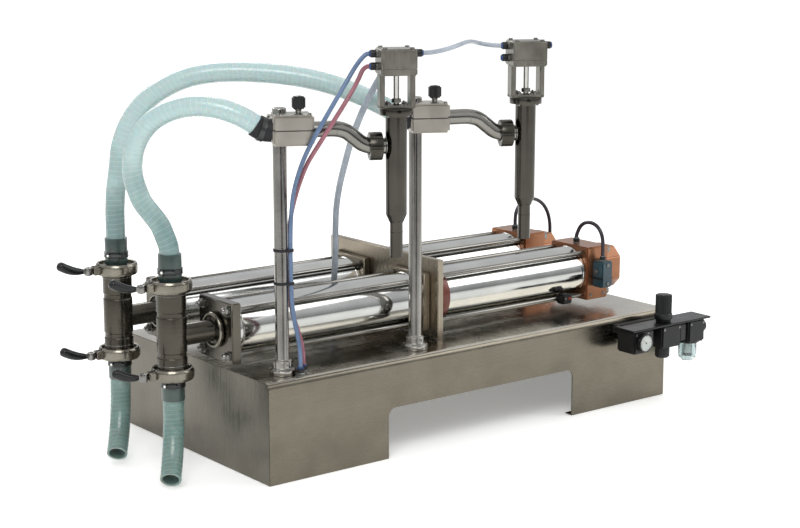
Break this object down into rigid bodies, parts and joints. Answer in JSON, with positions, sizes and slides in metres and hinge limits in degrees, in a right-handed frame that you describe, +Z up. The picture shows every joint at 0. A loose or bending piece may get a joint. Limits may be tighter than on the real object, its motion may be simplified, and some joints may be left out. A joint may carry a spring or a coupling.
{
  "type": "piston liquid filler",
  "caption": "Tabletop liquid filler: piston metering cylinders on a sheet-steel base, hoses to post-mounted shut-off nozzles, air regulator.",
  "frame": {"origin": "centre of the footprint of everything except the hoses and tubes, on the plane that the base stands on", "axes": "+X along the machine from the valves to the drive cylinders, +Y from the filling nozzles to the back, +Z up"},
  "size_m": [1.2894, 0.632, 0.779],
  "materials": {
    "sheet_steel": "folded stainless sheet, brushed",
    "steel": "satin stainless steel",
    "polished_steel": "polished stainless steel",
    "cast_aluminium": "satin machined aluminium",
    "copper_aluminium": "copper-coloured anodised aluminium",
    "rust_flange": "red-brown painted metal",
    "teal_metal": "dark teal painted metal",
    "black_plastic": "matt black plastic",
    "piston_plastic": "white machined plastic with a seal groove",
    "gauge_white": "white dial behind a clear window",
    "clear_bowl": "clear bowl",
    "product_hose": "translucent reinforced hose",
    "blue_tube": "blue air tube",
    "red_tube": "red air tube",
    "grey_tube": "grey air tube",
    "dark_tube": "dark air tube"
  },
  "bodies": {
    "root": {"base_housing": "sheet_steel", "mid_plate": "steel", "front_valve_body": "polished_steel", "front_outlet_clamp": "steel", "front_inlet_clamp": "steel", "front_metering_cap": "polished_steel", "front_metering_barrel": "polished_steel", "front_drive_flange": "rust_flange", "front_drive_barrel": "polished_steel", "front_drive_cap": "copper_aluminium", "rear_valve_body": "polished_steel", "rear_outlet_clamp": "steel", "rear_inlet_clamp": "steel", "rear_metering_cap": "polished_steel", "rear_metering_barrel": "polished_steel", "rear_drive_flange": "rust_flange", "rear_drive_barrel": "polished_steel", "rear_drive_cap": "copper_aluminium", "left_post": "steel", "right_post": "steel", "regulator_body": "black_plastic", "filter_bowl": "clear_bowl", "pressure_gauge": "gauge_white", "speed_valve": "teal_metal", "front_outlet_hose": "product_hose", "rear_outlet_hose": "product_hose", "front_suction_hose": "product_hose", "rear_suction_hose": "product_hose", "left_open_air_tube": "blue_tube", "left_close_air_tube": "red_tube", "drop_air_tube": "grey_tube", "front_air_arch": "dark_tube", "rear_air_arch": "dark_tube"},
    "front_shuttle": {"front_metering_piston": "piston_plastic", "front_piston_rod": "polished_steel"},
    "front_inlet_poppet_body": {"front_inlet_poppet": "polished_steel"},
    "front_inlet_lever_body": {"front_inlet_clamp_lever": "black_plastic"},
    "front_outlet_poppet_body": {"front_outlet_poppet": "polished_steel"},
    "front_outlet_lever_body": {"front_outlet_clamp_lever": "black_plastic"},
    "rear_shuttle": {"rear_metering_piston": "piston_plastic", "rear_piston_rod": "polished_steel"},
    "rear_inlet_poppet_body": {"rear_inlet_poppet": "polished_steel"},
    "rear_inlet_lever_body": {"rear_inlet_clamp_lever": "black_plastic"},
    "rear_outlet_poppet_body": {"rear_outlet_poppet": "polished_steel"},
    "rear_outlet_lever_body": {"rear_outlet_clamp_lever": "black_plastic"},
    "left_head": {"left_post_clamp": "cast_aluminium", "left_product_pipe": "steel", "left_nozzle_body": "steel", "left_actuator": "cast_aluminium", "link_air_tube": "grey_tube"},
    "left_stem": {"left_shutoff_stem": "polished_steel"},
    "left_knob": {"left_clamp_knob": "black_plastic"},
    "right_head": {"right_post_clamp": "cast_aluminium", "right_product_pipe": "steel", "right_nozzle_body": "steel", "right_actuator": "cast_aluminium"},
    "right_stem": {"right_shutoff_stem": "polished_steel"},
    "right_knob": {"right_clamp_knob": "black_plastic"},
    "air_knob": {"regulator_knob": "black_plastic"},
    "position_switch": {"reed_switch": "black_plastic"}
  },
  "joints": [
    {"name": "front_piston_stroke", "type": "slide", "parent": "root", "child": "front_shuttle", "axis": [1, 0, 0], "range_m": [0, 0.335]},
    {"name": "rear_piston_stroke", "type": "slide", "parent": "root", "child": "rear_shuttle", "axis": [1, 0, 0], "range_m": [0, 0.335]},
    {"name": "left_head_height", "type": "slide", "parent": "root", "child": "left_head", "axis": [0, 0, 1], "range_m": [-0.1, 0.01], "deforming": ["front_outlet_hose", "left_open_air_tube", "left_close_air_tube", "drop_air_tube"]},
    {"name": "right_head_height", "type": "slide", "parent": "root", "child": "right_head", "axis": [0, 0, 1], "range_m": [-0.1, 0.01], "deforming": ["rear_outlet_hose"]},
    {"name": "left_stem_lift", "type": "slide", "parent": "left_head", "child": "left_stem", "axis": [0, 0, 1], "range_m": [0, 0.01], "stiffness_N_per_m": 800, "springref_m": -0.01},
    {"name": "right_stem_lift", "type": "slide", "parent": "right_head", "child": "right_stem", "axis": [0, 0, 1], "range_m": [0, 0.01], "stiffness_N_per_m": 800, "springref_m": -0.01},
    {"name": "left_knob_turn", "type": "hinge", "parent": "left_head", "child": "left_knob", "pos_m": [-0.34215, -0.19439, 0.6593], "axis": [0, 0, 1], "range_deg": [0, 720]},
    {"name": "right_knob_turn", "type": "hinge", "parent": "right_head", "child": "right_knob", "pos_m": [-0.03815, -0.19439, 0.6593], "axis": [0, 0, 1], "range_deg": [0, 720]},
    {"name": "front_inlet_poppet_lift", "type": "slide", "parent": "root", "child": "front_inlet_poppet_body", "axis": [0, 0, 1], "range_m": [0, 0.008], "stiffness_N_per_m": 200, "springref_m": -0.005},
    {"name": "front_outlet_poppet_lift", "type": "slide", "parent": "root", "child": "front_outlet_poppet_body", "axis": [0, 0, 1], "range_m": [0, 0.008], "stiffness_N_per_m": 200, "springref_m": -0.005},
    {"name": "rear_inlet_poppet_lift", "type": "slide", "parent": "root", "child": "rear_inlet_poppet_body", "axis": [0, 0, 1], "range_m": [0, 0.008], "stiffness_N_per_m": 200, "springref_m": -0.005},
    {"name": "rear_outlet_poppet_lift", "type": "slide", "parent": "root", "child": "rear_outlet_poppet_body", "axis": [0, 0, 1], "range_m": [0, 0.008], "stiffness_N_per_m": 200, "springref_m": -0.005},
    {"name": "front_inlet_lever_swing", "type": "hinge", "parent": "root", "child": "front_inlet_lever_body", "pos_m": [-0.58326, -0.05403, 0.196], "axis": [0, 0, 1], "range_deg": [0, 90]},
    {"name": "front_outlet_lever_swing", "type": "hinge", "parent": "root", "child": "front_outlet_lever_body", "pos_m": [-0.58326, -0.05403, 0.356], "axis": [0, 0, 1], "range_deg": [0, 90]},
    {"name": "rear_inlet_lever_swing", "type": "hinge", "parent": "root", "child": "rear_inlet_lever_body", "pos_m": [-0.58326, 0.14097, 0.196], "axis": [0, 0, 1], "range_deg": [0, 90]},
    {"name": "rear_outlet_lever_swing", "type": "hinge", "parent": "root", "child": "rear_outlet_lever_body", "pos_m": [-0.58326, 0.14097, 0.356], "axis": [0, 0, 1], "range_deg": [0, 90]},
    {"name": "air_knob_turn", "type": "hinge", "parent": "root", "child": "air_knob", "pos_m": [0.52674, -0.24904, 0.1753], "axis": [0, 0, 1], "range_deg": [-720, 720]},
    {"name": "switch_slide", "type": "slide", "parent": "root", "child": "position_switch", "axis": [1, 0, 0], "range_m": [-0.3, 0.04]}
  ],
  "couplings": [
    {"joint": "rear_piston_stroke", "follows": "front_piston_stroke", "ratio": 1},
    {"joint": "right_head_height", "follows": "left_head_height", "ratio": 1},
    {"joint": "right_stem_lift", "follows": "left_stem_lift", "ratio": 1}
  ]
}
